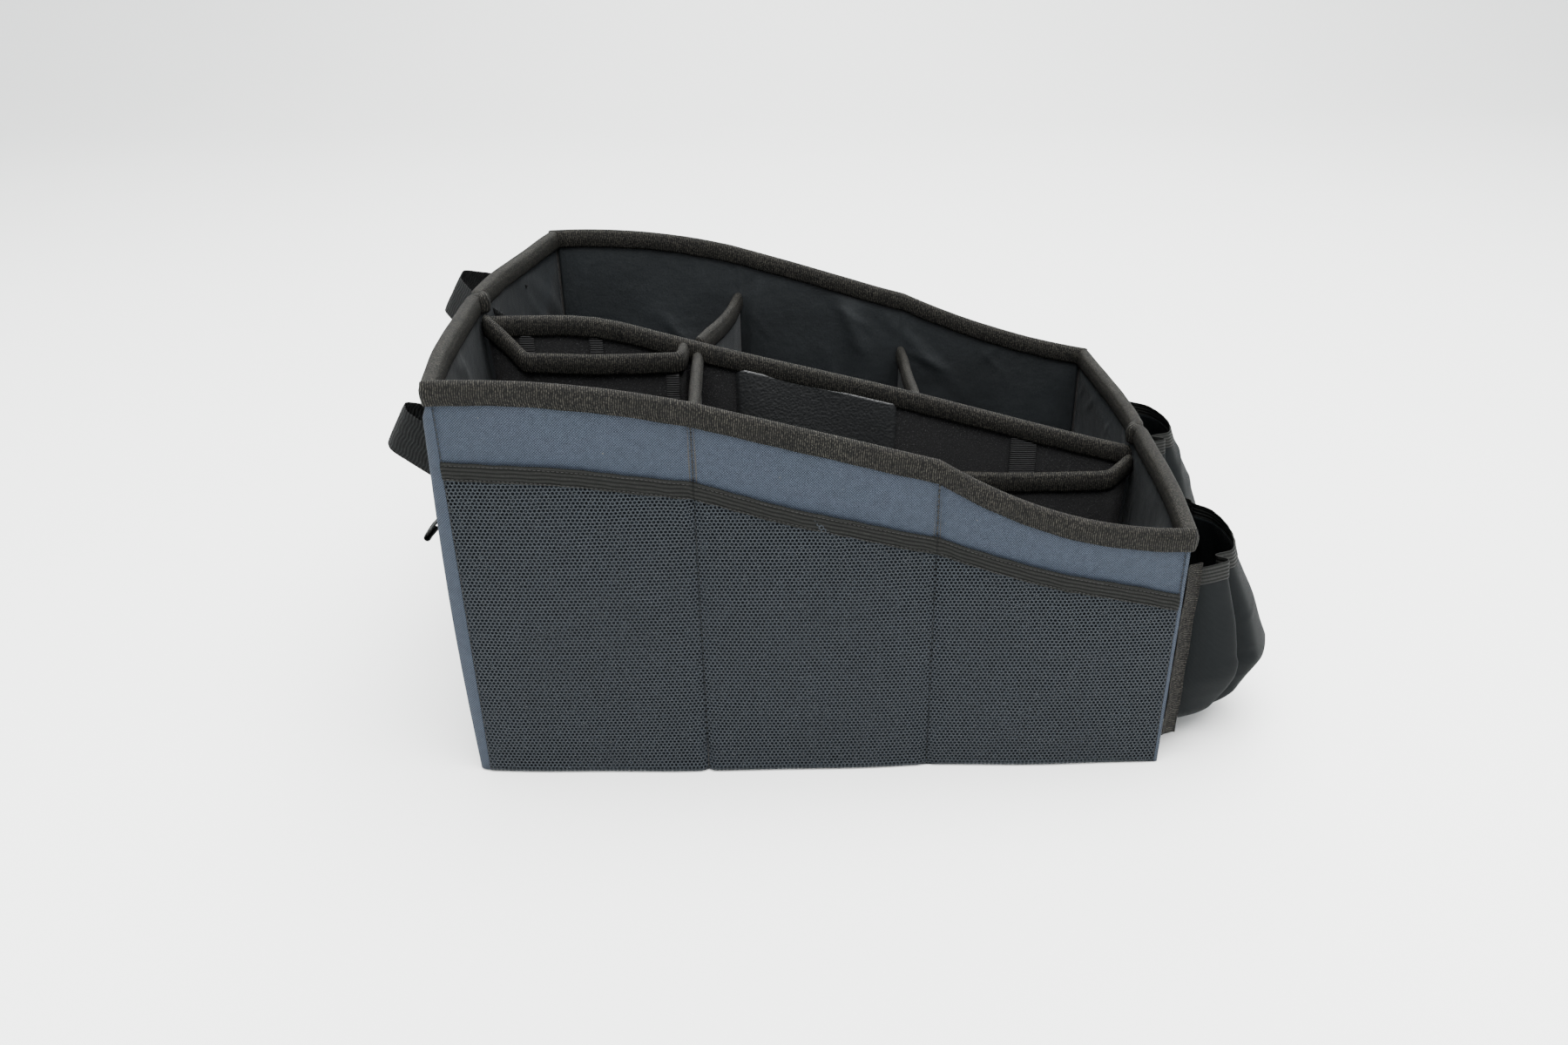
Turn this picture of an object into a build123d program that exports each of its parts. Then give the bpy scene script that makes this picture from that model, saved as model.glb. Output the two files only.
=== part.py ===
"""Sloped-top fabric tool tote with board-stiffened walls, bins, mesh pockets and bottle pockets.

Millimetres. The origin is the middle of the underside of the base. +X points to the low end, +Y to the
back wall, +Z up. Every wall is a sandwich: outer fabric, stiffener board, lining.
"""

import os

from build123d import *

# ---- driving dimensions -------------------------------------------------------------------------
LENGTH = 430.0  # base length, between the outer faces of the two ends
TALL_DEPTH = 344.0  # front to back at the tall end
LOW_DEPTH = 320.0  # front to back at the low end
TALL_HEIGHT = 262.5  # wall height at the tall end, under the rim tape
MIDDLE_OF_TALL = 259.5  # wall height halfway along the first section
SEAM_HEIGHTS = (248.0, 211.0)  # wall height at the two stitched seams
MIDDLE_OF_LOW = {"front": 178.5, "back": 187.5, "mesh": 188.0}  # height halfway along the last section
LOW_HEIGHT = 165.5  # wall height at the low end
SEAM_X = (-72.0, 67.0)  # the seams that split the long walls into three
TALL_BOW = 19.0  # how far the tall end stands out at the middle of its rim
LOW_BOW = 8.0  # the same at the low end
CREASE = 5.0  # the boards of an end wall stop this far from its middle, so that it can fold there

FABRIC = 0.8
BOARD = 2.0
LINING = 0.6
WALL = FABRIC + BOARD + LINING
CLEAR = 0.15  # sewing ease between two pieces of one wall
BASE_BOARD = 3.0

TAPE = 1.4  # thickness of one leg of the binding tape
TAPE_DEPTH = 11.0  # how far the tape folds down each face

MESH_DROP = 45.0  # elastic top edge below the rim
ELASTIC = 12.5  # height of the elastic band
MESH_SKIN = 1.0
MESH_EASE = 1.2  # room between the mesh and the front wall
SEAM_GAP = 3.0  # width of a stitched seam between two pockets

DIVIDER_X = (-211.0, 210.5)
DIVIDER_TOP = 246.0  # level part of the centre divider
DIVIDER_KNEE_X = -152.0  # where its slope begins
DIVIDER_LOW_TOP = 151.0
DIVIDER_BOARD = 2.4
DIVIDER_FACE = 1.2
DIVIDER_BACKING = 0.8

PANEL_Y = -28.0  # the two flat pockets' panels stand here
PANEL = 2.4

CROSS = 3.0  # thickness of a cross divider
FLAP_HINGE = (-72.0, -160.0)  # the front cross divider turns about this upright line
FLAP_REACH = 154.5
FLAP_REST = 4.4  # degrees that the flap leans to the tall end
FLAP_TOP = (234.0, 223.0)  # at the wall and at the centre divider

BOTTLE_Z = (24.0, 130.0, 142.0)  # bottom, foot of the elastic, mouth
BOTTLE_SKIN = 1.6
BOTTLE_MIDDLES = (-98.0, 98.0)
BOTTLE_HALF = 54.0  # half the width of a bottle pocket
BOTTLE_AXIS_X = 213.0

WEBBING_WIDTH = 28.0
WEBBING = 2.0
NEAR_LOOP = (-126.0, 200.0, 30.0)  # place along the tall end, height, and how far it tilts up
FAR_LOOP = (55.0, 225.0, 25.0)
TAB_MIDDLE = -140.0  # the short tab hangs here
TAB_TOP = 172.0
TAB_LENGTH = 24.0
TAB_ANGLE = 42.0  # how far the tab stands off the wall
TAB_WIDTH = 20.0
TAB_FOLD = 6.0  # thickness of the folded tab

BIG = 400.0

HALF_LENGTH = LENGTH / 2
HALF_TALL = TALL_DEPTH / 2
HALF_LOW = LOW_DEPTH / 2


# ---- helpers ------------------------------------------------------------------------------------
def half_depth(x):
    """Distance from the centre line to the outer face of a long wall."""
    return HALF_TALL + (HALF_LOW - HALF_TALL) * (x + HALF_LENGTH) / LENGTH


def prism(points, low, high):
    """A solid standing on a plan outline."""
    outline = make_face(Polyline(*[(x, y, low) for x, y in points], close=True))
    return extrude(outline, amount=high - low, dir=(0, 0, 1))


def rim_line(drop, wall="front", reach=12.0):
    """The top edge of a long wall, lowered by drop and run level past both ends."""
    tall, low = TALL_HEIGHT - drop, LOW_HEIGHT - drop
    first, second = [z - drop for z in SEAM_HEIGHTS]
    return [
        Line((-HALF_LENGTH - reach, 0, tall), (-HALF_LENGTH, 0, tall)),
        ThreePointArc(
            (-HALF_LENGTH, 0, tall), (-143, 0, MIDDLE_OF_TALL - drop), (SEAM_X[0], 0, first)
        ),
        Line((SEAM_X[0], 0, first), (SEAM_X[1], 0, second)),
        ThreePointArc(
            (SEAM_X[1], 0, second), (133, 0, MIDDLE_OF_LOW[wall] - drop), (HALF_LENGTH, 0, low)
        ),
        Line((HALF_LENGTH, 0, low), (HALF_LENGTH + reach, 0, low)),
    ]


def side_cut(edges, floor=-20.0):
    """Everything under a line drawn in the side view, as a solid across the whole tote."""
    start, end = edges[0] @ 0, edges[-1] @ 1
    closing = Polyline(end, (end.X, 0, floor), (start.X, 0, floor), start)
    return extrude(make_face([*edges, closing]), amount=BIG, both=True)


def under_rim(drop, wall="front"):
    return side_cut(rim_line(drop, wall))


def long_strip(side, x0, x1, inset0, inset1, low=FABRIC, high=300.0):
    """A slab along a long wall, between two insets from its outer face."""
    corners = [(x0, inset0), (x1, inset0), (x1, inset1), (x0, inset1)]
    return prism([(x, side * (half_depth(x) - inset)) for x, inset in corners], low, high)


def end_x(end, y, z):
    """The outer face of an end wall, which stands out more towards the middle of its rim."""
    bow, height, half = (
        (TALL_BOW, TALL_HEIGHT, HALF_TALL) if end < 0 else (LOW_BOW, LOW_HEIGHT, HALF_LOW)
    )
    return end * (HALF_LENGTH + bow * z / height * (1 - abs(y) / half))


def end_strip(end, y0, y1, inset0, inset1, low, high):
    """A slab on one half of an end wall, from y0 to y1, between two insets from its outer face."""
    sections = []
    for z in (low, high):
        corners = [(y0, inset0), (y1, inset0), (y1, inset1), (y0, inset1)]
        outline = [(end_x(end, y, z) - end * inset, y, z) for y, inset in corners]
        sections.append(make_face(Polyline(*outline, close=True)))
    return loft(sections, ruled=True)


def end_reach(end, inset):
    """How far from the centre line an end wall's layer runs before it meets the long walls."""
    return half_depth(end * HALF_LENGTH) - inset - CLEAR


def end_height(end):
    return TALL_HEIGHT if end < 0 else LOW_HEIGHT


def end_layer(end, inset0, inset1, low=FABRIC):
    """A whole layer of an end wall, in one piece across the middle crease."""
    far, top = end_reach(end, inset1), end_height(end)
    halves = [end_strip(end, 0, s * far, inset0, inset1, low, top) for s in (-1, 1)]
    return halves[0] + halves[1]


def save(name, solid):
    solid.label = name
    export_step(solid, f"parts/{name}.step")


# ---- the walls' layers --------------------------------------------------------------------------
def walls():
    """Outer fabric, boards and linings of the four walls, and the base."""
    pieces = {}
    layers = {"panel": (0, FABRIC), "lining": (FABRIC + BOARD, WALL)}
    for side, name in ((-1, "front"), (1, "back")):
        under = under_rim(0, name)
        for layer, (inset0, inset1) in layers.items():
            reach = HALF_LENGTH - inset0
            pieces[f"{name}_{layer}"] = long_strip(side, -reach, reach, inset0, inset1) & under
        reach = HALF_LENGTH - FABRIC
        edges = [-reach, SEAM_X[0], SEAM_X[1], reach]
        for number in range(3):
            left = edges[number] + (SEAM_GAP / 2 if number > 0 else 0)
            right = edges[number + 1] - (SEAM_GAP / 2 if number < 2 else 0)
            board = long_strip(side, left, right, FABRIC, FABRIC + BOARD)
            pieces[f"{name}_board_{number + 1}"] = board & under
    for end, name in ((-1, "tall_end"), (1, "low_end")):
        for layer, (inset0, inset1) in layers.items():
            pieces[f"{name}_{layer}"] = end_layer(end, inset0, inset1)
        far, top = end_reach(end, FABRIC + BOARD), end_height(end)
        for half, place in ((-1, "front"), (1, "back")):
            pieces[f"{name}_board_{place}"] = end_strip(
                end, half * CREASE, half * far, FABRIC, FABRIC + BOARD, FABRIC, top
            )
    ring = HALF_LENGTH
    pieces["base_panel"] = prism(
        [(-ring, -HALF_TALL), (ring, -HALF_LOW), (ring, HALF_LOW), (-ring, HALF_TALL)], 0, FABRIC
    )
    inset = WALL + 2 * CLEAR
    inner = [(x, s * (half_depth(x) - inset)) for s, x in
             ((-1, inset - ring), (-1, ring - inset), (1, ring - inset), (1, inset - ring))]
    pieces["base_board"] = prism(inner, FABRIC, FABRIC + BASE_BOARD)
    pieces["base_lining"] = prism(inner, FABRIC + BASE_BOARD, FABRIC + BASE_BOARD + LINING)
    return pieces


def rim_tape(space):
    """Binding tape, folded over the top edge of every wall."""
    reach = HALF_LENGTH + TAPE
    pieces = {}
    for side, name in ((-1, "front"), (1, "back")):
        band = under_rim(-TAPE, name) - under_rim(TAPE_DEPTH, name)
        tape = long_strip(side, -reach, reach, -TAPE, WALL + TAPE) & band
        pieces[f"rim_tape_{name}"] = tape - space
    for end, name in ((-1, "tall_end"), (1, "low_end")):
        top, far = end_height(end), end_reach(end, WALL + TAPE)
        for half, place in ((-1, "front"), (1, "back")):
            tape = end_strip(
                end, half * CLEAR, half * far, -TAPE, WALL + TAPE, top - TAPE_DEPTH, top + TAPE
            )
            pieces[f"rim_tape_{name}_{place}"] = tape - space
    return pieces


# ---- what is sewn on the outside ----------------------------------------------------------------
def mesh_pockets():
    """Three mesh pockets on the front wall, each with an elastic band along its top edge."""
    pieces = {}
    outer = MESH_EASE + MESH_SKIN
    edge = 8.0
    edges = [-HALF_LENGTH + edge, SEAM_X[0], SEAM_X[1], HALF_LENGTH - edge]
    below = under_rim(MESH_DROP + ELASTIC / 2, "mesh")
    band = under_rim(MESH_DROP, "mesh") - under_rim(MESH_DROP + ELASTIC, "mesh")
    for number in range(3):
        left = edges[number] + (SEAM_GAP / 2 if number > 0 else 0)
        right = edges[number + 1] - (SEAM_GAP / 2 if number < 2 else 0)
        mesh = long_strip(-1, left, right, -outer, 0) & below
        mesh -= long_strip(-1, left + 3, right - 3, -MESH_EASE, 1, low=6.0)
        pieces[f"mesh_pocket_{number + 1}"] = mesh
        elastic = long_strip(-1, left, right, -outer - 0.8, -MESH_EASE + 0.6) & band
        pieces[f"mesh_elastic_{number + 1}"] = elastic - mesh
    return pieces


def bottle_ovals(depths, halves, heights, middle):
    return loft(
        [
            Pos(BOTTLE_AXIS_X, middle, z) * Ellipse(depth, half)
            for depth, half, z in zip(depths, halves, heights)
        ]
    )


def bottle_pockets():
    """Two stretch bottle pockets on the low end, gathered by elastic at the mouth."""
    pieces, strips = {}, []
    bottom, foot, mouth = BOTTLE_Z
    heights = (bottom, bottom + 12, 62, 96, foot)
    depths = (26, 52, 73, 66, 46)
    widths = (0.62, 0.86, 1.0, 1.0, 1.0)
    inside = [end_strip(1, 0, s * 175, 0, 90, 0, 170) for s in (-1, 1)]
    for middle, name in zip(BOTTLE_MIDDLES, ("near", "far")):
        halves = [BOTTLE_HALF * w for w in widths]
        skin = BOTTLE_SKIN
        outer = bottle_ovals(depths, halves, heights, middle)
        lifted = (bottom + skin, *heights[1:-1], foot + 0.01)
        inner = bottle_ovals([d - skin for d in depths], [h - skin for h in halves], lifted, middle)
        pieces[f"bottle_pocket_{name}"] = outer - inner - inside
        rings = []
        for grow in (0.6, -BOTTLE_SKIN - 0.4):
            top, half = depths[-1] + grow, halves[-1] + grow
            rings.append(bottle_ovals((top, top - 3), (half, half), (foot, mouth), middle))
        pieces[f"bottle_elastic_{name}"] = rings[0] - rings[1] - inside
        for side in (-1, 1):
            y0 = middle + side * (BOTTLE_HALF + 1.2)
            y1 = y0 + side * 9.0
            strips.append(end_strip(1, y0, y1, -2.6, 0, bottom - 2, mouth + 1))
    pieces["bottle_side_tapes"] = Compound(children=strips)
    return pieces


def tall_end_wall():
    """The room that the tall end and the inside of the tote take up."""
    return [end_strip(-1, 0, s * 175, 0, 90, 0, 270) for s in (-1, 1)]


def webbing_loop(middle, height, tilt, points):
    """A belt loop: webbing run level along the tall end, standing out between its two sewn ends."""
    first, last = points[0], points[-1]
    path = FilletPolyline(*[(-u, y, 0) for u, y in points], radius=3.0)
    ring = make_face([path, Line((-last[0], last[1], 0), (-first[0], first[1], 0))])
    band = extrude(ring, amount=WEBBING_WIDTH / 2, both=True)
    band -= extrude(offset(ring, -WEBBING), amount=WEBBING_WIDTH, both=True)
    root = end_x(-1, middle, height)
    return Pos(root, middle, height) * Rot(0, tilt, 0) * band - tall_end_wall()


def webbing():
    """Two belt loops and a short hanging tab on the tall end."""
    near = [(-16, 18), (6, 17), (28, 12), (39, 3), (34, -7), (6, -13), (-16, -14)]
    far = [(-16, 42), (4, 40), (26, 28), (43, 6), (41, -12), (22, -28), (-16, -35)]
    pieces = {
        "webbing_loop_near": webbing_loop(*NEAR_LOOP, near),
        "webbing_loop_far": webbing_loop(*FAR_LOOP, far),
    }
    folded = SlotCenterToCenter(TAB_LENGTH - TAB_FOLD, TAB_FOLD)
    folded -= SlotCenterToCenter(TAB_LENGTH - TAB_FOLD, TAB_FOLD - 2 * WEBBING)
    hanging = Plane.XZ * (Pos(0, -TAB_LENGTH / 2) * Rot(0, 0, 90) * folded)
    tab = extrude(hanging, TAB_WIDTH / 2, both=True)
    pieces["webbing_tab"] = Pos(*tab_pivot()) * Rot(0, TAB_ANGLE, 0) * tab
    return pieces


def tab_pivot():
    """The line of stitching that the tab hangs from, clear of the wall."""
    return end_x(-1, TAB_MIDDLE, TAB_TOP) - 5.0, TAB_MIDDLE, TAB_TOP


# ---- what is inside -----------------------------------------------------------------------------
FLOOR = FABRIC + BASE_BOARD + LINING + CLEAR  # everything inside stands on the base lining


def ribbon(points, side0, side1, low=FLOOR, high=300.0):
    """An upright sheet that follows a plan line, between two offsets to the left of it."""

    def shifted(amount):
        line = [Vector(*p) for p in points]
        ways = [(b - a).normalized() for a, b in zip(line, line[1:])]
        out = []
        for number, point in enumerate(line):
            before, after = ways[max(number - 1, 0)], ways[min(number, len(ways) - 1)]
            normal = Vector(-before.Y - after.Y, before.X + after.X).normalized()
            out.append(point + normal * (amount / normal.dot(Vector(-after.Y, after.X))))
        return [(p.X, p.Y) for p in out]

    return prism(shifted(side0) + shifted(side1)[::-1], low, high)


def divider_line(drop):
    knee = (DIVIDER_KNEE_X, 0, DIVIDER_TOP - drop)
    return [
        Line((DIVIDER_X[0] - 2, 0, DIVIDER_TOP - drop), knee),
        Line(knee, (DIVIDER_X[1], 0, DIVIDER_LOW_TOP - drop)),
    ]


def taped(points, half0, half1, cut):
    """A sheet under a top line, and the tape over its top edge. cut gives the room under the line."""
    sheet = ribbon(points, half0, half1) & cut(0)
    tape = ribbon(points, half0 - TAPE, half1 + TAPE) & (cut(-TAPE) - cut(TAPE_DEPTH))
    return sheet, tape - sheet


def centre_divider():
    """The long divider: a board between loop fabric and lining, taped, with what is sewn on it."""
    start, finish = DIVIDER_X
    line = [(start, 0), (finish, 0)]
    half = DIVIDER_BOARD / 2
    front, back = -half - DIVIDER_FACE, half + DIVIDER_BACKING
    under = side_cut(divider_line(0))
    below_tape = side_cut(divider_line(TAPE_DEPTH + 0.5))
    _, tape = taped(line, front, back, lambda drop: side_cut(divider_line(drop)))
    pieces = {
        "divider_board": ribbon(line, -half, half) & under,
        "divider_front_face": ribbon(line, front, -half) & under,
        "divider_back_face": ribbon(line, half, back) & under,
        "divider_tape": tape,
    }
    left, right, depth = -58.0, 52.0, 2.0
    pocket = ribbon([(left, 0), (right, 0)], front - depth, front, low=84.0) & below_tape
    pocket -= ribbon([(left + 3, 0), (right - 3, 0)], front - 1.0, front, low=88.0)
    pieces["grain_pocket"] = pocket
    strips = []
    for middle, width in ((-200.0, 10.0), (-152.5, 9.0), (142.0, 18.0)):
        ends = [(middle - width / 2, 0), (middle + width / 2, 0)]
        strips.append(ribbon(ends, front - 0.9, front, low=70.0) & below_tape)
    pieces["divider_ribbed_strips"] = Compound(children=strips)
    gussets = []
    for end, edge, edge_top, top in ((-1, start, 236.0, 250.0), (1, finish, 146.0, 146.0)):
        foot, head = [end_x(end, 0, z) - end * (WALL + 0.6) for z in (FLOOR, top)]
        shape = [(edge, FLOOR), (foot, FLOOR), (head, top), (edge, edge_top)]
        web = make_face(Polyline(*[(x, 0, z) for x, z in shape], close=True))
        gussets.append(extrude(web, amount=0.5, both=True))
    pieces["divider_gussets"] = Compound(children=gussets)
    return pieces


def flat_pockets():
    """Level-topped panels standing in front of the centre divider, at its two ends."""
    pieces = {}
    front = -DIVIDER_BOARD / 2 - DIVIDER_FACE - TAPE
    places = {
        "left": ([(-209, -9), (-197, PANEL_Y), (-93, PANEL_Y), (-93, front - 2)], 229.0),
        "right": ([(70, front - 2), (70, PANEL_Y), (198, PANEL_Y), (209, -9)], 142.0),
    }
    for name, (line, top) in places.items():
        def cut(drop, top=top):
            return Pos(0, 0, (top - drop) / 2 - 10) * Box(BIG * 2, BIG * 2, top - drop + 20)

        _, tape = taped(line, -PANEL / 2, PANEL / 2, cut)
        pieces[f"{name}_panel_board"] = ribbon(line, -PANEL / 2 + 0.8, PANEL / 2) & cut(0)
        pieces[f"{name}_panel_face"] = ribbon(line, -PANEL / 2, -PANEL / 2 + 0.8) & cut(0)
        pieces[f"{name}_panel_tape"] = tape
    return pieces


def cross_cut(y0, z0, y1, z1):
    """The room under a line that slopes from front to back."""
    shape = [(0, y0, -20), (0, y0, z0), (0, y1, z1), (0, y1, -20)]
    return extrude(make_face(Polyline(*shape, close=True)), amount=BIG, both=True)


def cross_dividers():
    """One flap in the front row, hinged on its wall seam, and two sewn dividers in the back row."""
    pieces = {}
    x, y = FLAP_HINGE
    wall_top, far_top = FLAP_TOP
    flap = taped(
        [(0, 0.8), (0, FLAP_REACH)],
        -CROSS / 2,
        CROSS / 2,
        lambda drop: cross_cut(0, wall_top - drop, FLAP_REACH + 1, far_top - drop),
    )
    place = Pos(x, y, 0) * Rot(0, 0, FLAP_REST)
    pieces["front_cross_divider"], pieces["front_cross_divider_tape"] = [place * p for p in flap]
    wall_y = WALL - half_depth(x)
    seam = ribbon([(x, wall_y + 0.02), (x, y - 0.3)], -0.6, 0.6, high=wall_top - 4)
    sides = [TAB_MIDDLE - TAB_WIDTH / 2, TAB_MIDDLE + TAB_WIDTH / 2]
    patch = end_strip(-1, *sides, -2.2, 0, TAB_TOP - 0.5, TAB_TOP + 9)
    pieces["hinge_seams"] = Compound(children=[seam, patch])
    near, tapes = DIVIDER_BOARD / 2 + DIVIDER_BACKING + TAPE + 1.0, []
    rows = {
        "back_cross_divider_1": ([(-84, near), (-76, 55), (-69, 110), (-67, 0)], 228.0, 214.5),
        "back_cross_divider_2": ([(66.5, near), (65, 0)], 186.0, 169.5),
    }
    for name, (line, near_top, wall_top) in rows.items():
        end = half_depth(line[-1][0]) - WALL - 0.4
        line[-1] = (line[-1][0], end)
        sheet, tape = taped(
            line,
            -CROSS / 2,
            CROSS / 2,
            lambda drop: cross_cut(near - 2, near_top - drop, end + 2, wall_top - drop),
        )
        pieces[name] = sheet
        tapes.append(tape)
    pieces["back_cross_divider_tapes"] = Compound(children=tapes)
    return pieces


if __name__ == "__main__":
    os.makedirs("parts", exist_ok=True)
    parts = walls()
    parts |= rim_tape(list(parts.values()))
    parts |= mesh_pockets()
    parts |= bottle_pockets()
    parts |= webbing()
    parts |= centre_divider()
    parts |= flat_pockets()
    parts |= cross_dividers()
    for node, solid in parts.items():
        save(node, solid)
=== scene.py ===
# %% [markdown]
# # A sloped-top tool tote, finished in fabric
# The stiff frame of this tote comes ready made, as named parts in metres. This lesson dresses it: every
# strip of fabric, tape, mesh and webbing becomes a surface worked out with arrays, and then gets a finish
# built from shader nodes. Each piece stands in the same place as the plain part that it covers.

# %% Load the frame
from math import cos, pi, radians, sin

import bpy
import numpy as np
from mathutils import Matrix, Vector


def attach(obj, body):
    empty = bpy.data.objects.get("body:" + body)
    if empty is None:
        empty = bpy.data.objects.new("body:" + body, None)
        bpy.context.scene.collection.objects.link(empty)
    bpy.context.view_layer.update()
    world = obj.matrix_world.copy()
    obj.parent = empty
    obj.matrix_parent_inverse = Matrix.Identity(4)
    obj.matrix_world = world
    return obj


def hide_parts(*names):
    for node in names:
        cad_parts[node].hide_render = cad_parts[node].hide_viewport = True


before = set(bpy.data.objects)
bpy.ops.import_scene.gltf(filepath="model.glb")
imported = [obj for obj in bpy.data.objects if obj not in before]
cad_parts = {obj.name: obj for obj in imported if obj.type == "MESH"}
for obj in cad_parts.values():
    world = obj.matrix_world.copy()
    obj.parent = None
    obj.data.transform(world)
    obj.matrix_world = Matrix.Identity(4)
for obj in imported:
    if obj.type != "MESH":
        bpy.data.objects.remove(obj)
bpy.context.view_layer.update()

# %% [markdown]
# ## The sizes that every piece shares
# Fabric is drawn here in millimetres, because a maker thinks of tape and cloth that way, and it is turned
# into metres only when a mesh is made. The long walls come closer together towards the low end, their top
# edge slopes in three runs, and the two short ends bow out. Each of those is one small function.

# %% The tote's own measures
MM = 0.001
HALF_LENGTH = 215.0
TALL, LOW = 262.5, 165.5
SEAMS = (-72.0, 67.0)
WALL = 3.4
FLOOR = 4.6


def half_depth(x):
    """Half the distance between the long walls: a straight line from 172 at the tall end to 160."""
    return 172.0 - 12.0 * (x + HALF_LENGTH) / (2 * HALF_LENGTH)


def through(x, points):
    """The parabola through three points, worked out with Lagrange's formula."""
    (a, p), (b, q), (c, r) = points
    return (
        p * (x - b) * (x - c) / ((a - b) * (a - c))
        + q * (x - a) * (x - c) / ((b - a) * (b - c))
        + r * (x - a) * (x - b) / ((c - a) * (c - b))
    )


HOLLOW = {-1: 178.5, 1: 185.5}  # the back wall's rim is the straighter of the two


def rim(x, hollow=178.5):
    """Height of a wall's top edge: a crowned run, a straight run between the seams, a hollow run."""
    x = np.clip(x, -HALF_LENGTH, HALF_LENGTH)
    first = through(x, ((-215, TALL), (-143, 259.5), (-72, 248)))
    last = through(x, ((67, 211), (133, hollow), (215, LOW)))
    middle = 248 + (x + 72) * (211 - 248) / 139
    arch = 2.6 * np.sin(pi * np.clip((x + 215) / 260, 0, 1)) * (hollow == HOLLOW[1])
    return np.where(x < SEAMS[0], first, np.where(x < SEAMS[1], middle, last)) + arch


def bow(end, y, z):
    """How far an end wall stands out: a straight swell to the middle, a little fuller, with a pinch."""
    most, height, half = (19.0, TALL, 172.0) if end < 0 else (8.0, LOW, 160.0)
    q = np.clip(np.abs(y) / half, 0, 1)
    full, pinch = (3.3, 5.0) if end < 0 else (2.6, 3.4)
    swell = most * (1 - q) + full * 4 * q * (1 - q) - pinch * np.exp(-((y / 3.6) ** 2))
    return swell * z / height


def bell(x, middle, width):
    """A smooth bump of height one, e to the minus distance over width squared."""
    return np.exp(-(((x - middle) / width) ** 2))


def ease(t):
    """A step from 0 to 1 with level ends, three t squared minus two t cubed."""
    t = np.clip(t, 0, 1)
    return t * t * (3 - 2 * t)


def folds(a, b, seed, count, box, length, width, height):
    """Soft creases on a flat field: each is a ridge with a bell section, on a line of its own."""
    rng = np.random.default_rng(seed)
    total = np.zeros_like(a + b)
    for _ in range(count):
        ca, cb = rng.uniform(box[0], box[1]), rng.uniform(box[2], box[3])
        turn = rng.uniform(-0.9, 0.9) + pi / 2 * (rng.random() < 0.35)
        along = (a - ca) * cos(turn) + (b - cb) * sin(turn)
        side = (b - cb) * cos(turn) - (a - ca) * sin(turn)
        size = rng.uniform(0.45, 1.0)
        bend = side - 0.0016 * rng.uniform(-1, 1) * along**2
        total += height * size * np.exp(-((along / (length * size)) ** 2) - (bend / (width * size)) ** 2)
    return total


print("rim heights at the seams:", rim(np.array(SEAMS)).round(1))

# %% [markdown]
# ## From a grid of points to a mesh
# Almost every piece here is a grid: rows and columns of points. One function turns any grid into a mesh of
# quads, with a UV map in metres, so that a weave or a rib keeps its real size on every piece. Solidify then
# gives the cloth its thickness, which also closes it at its edges.

# %% Grid to mesh
FINISHES = {}


def grid_mesh(name, points, uv, flip=False, wrap=False):
    """Quads between neighbours of a (rows, columns, 3) grid; wrap joins the last column to the first."""
    rows, cols = points.shape[:2]
    uv_cols = uv.shape[1]
    r, c = np.meshgrid(np.arange(rows - 1), np.arange(cols if wrap else cols - 1), indexing="ij")
    ahead = (c + 1) % cols
    corners = np.stack([r * cols + c, r * cols + ahead, (r + 1) * cols + ahead, (r + 1) * cols + c], -1)
    on_cloth = np.stack(
        [r * uv_cols + c, r * uv_cols + c + 1, (r + 1) * uv_cols + c + 1, (r + 1) * uv_cols + c], -1
    )
    corners, on_cloth = corners.reshape(-1, 4), on_cloth.reshape(-1, 4)
    if flip:
        corners, on_cloth = corners[:, ::-1], on_cloth[:, ::-1]
    mesh = bpy.data.meshes.new(name)
    mesh.vertices.add(rows * cols)
    mesh.vertices.foreach_set("co", (points.reshape(-1, 3) * MM).astype(np.float32).ravel())
    mesh.loops.add(corners.size)
    mesh.loops.foreach_set("vertex_index", corners.astype(np.int32).ravel())
    mesh.polygons.add(len(corners))
    mesh.polygons.foreach_set("loop_start", np.arange(0, corners.size, 4, dtype=np.int32))
    mesh.polygons.foreach_set("use_smooth", np.ones(len(corners), bool))
    mesh.uv_layers.new(name="cloth")
    mesh.uv_layers["cloth"].data.foreach_set(
        "uv", uv.reshape(-1, 2)[on_cloth.ravel()].astype(np.float32).ravel()
    )
    mesh.update()
    mesh.validate()
    return mesh


def piece(name, mesh, finish, covers=(), body="tote", thick=0.0, offset=-1.0):
    """Put a mesh in the scene with its finish, its thickness, its body and the parts it stands for."""
    made = bpy.data.objects.new(name, mesh)
    bpy.context.scene.collection.objects.link(made)
    made.data.materials.append(FINISHES[finish])
    if thick:
        solid = made.modifiers.new("thickness", "SOLIDIFY")
        solid.thickness, solid.offset, solid.use_even_offset = thick * MM, offset, True
        solid.thickness_clamp = 1.5
    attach(made, body)
    if covers:
        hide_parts(*covers)
    return made


def arc_length(points, axis):
    """Distance along a grid from its first row or column, adding up the steps between points."""
    steps = np.linalg.norm(np.diff(points, axis=axis), axis=-1)
    start = np.zeros_like(np.take(points[..., 0], [0], axis=axis))
    return np.concatenate([start, np.cumsum(steps, axis=axis)], axis=axis)


def cloth_uv(points):
    """A UV map in metres, with u along the columns and v along the rows."""
    return np.stack([arc_length(points, 1), arc_length(points, 0)], -1) * MM


def spread(x, y, z):
    """Three arrays as one grid of points, each stretched to the size of the others."""
    return np.stack(np.broadcast_arrays(x, y, z), -1)


def cloth(name, points, finish, covers, thick, flip=False):
    """A piece of cloth made from a grid of points, with its UV map in metres."""
    return piece(name, grid_mesh(name, points, cloth_uv(points), flip), finish, covers, thick=thick)


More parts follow.
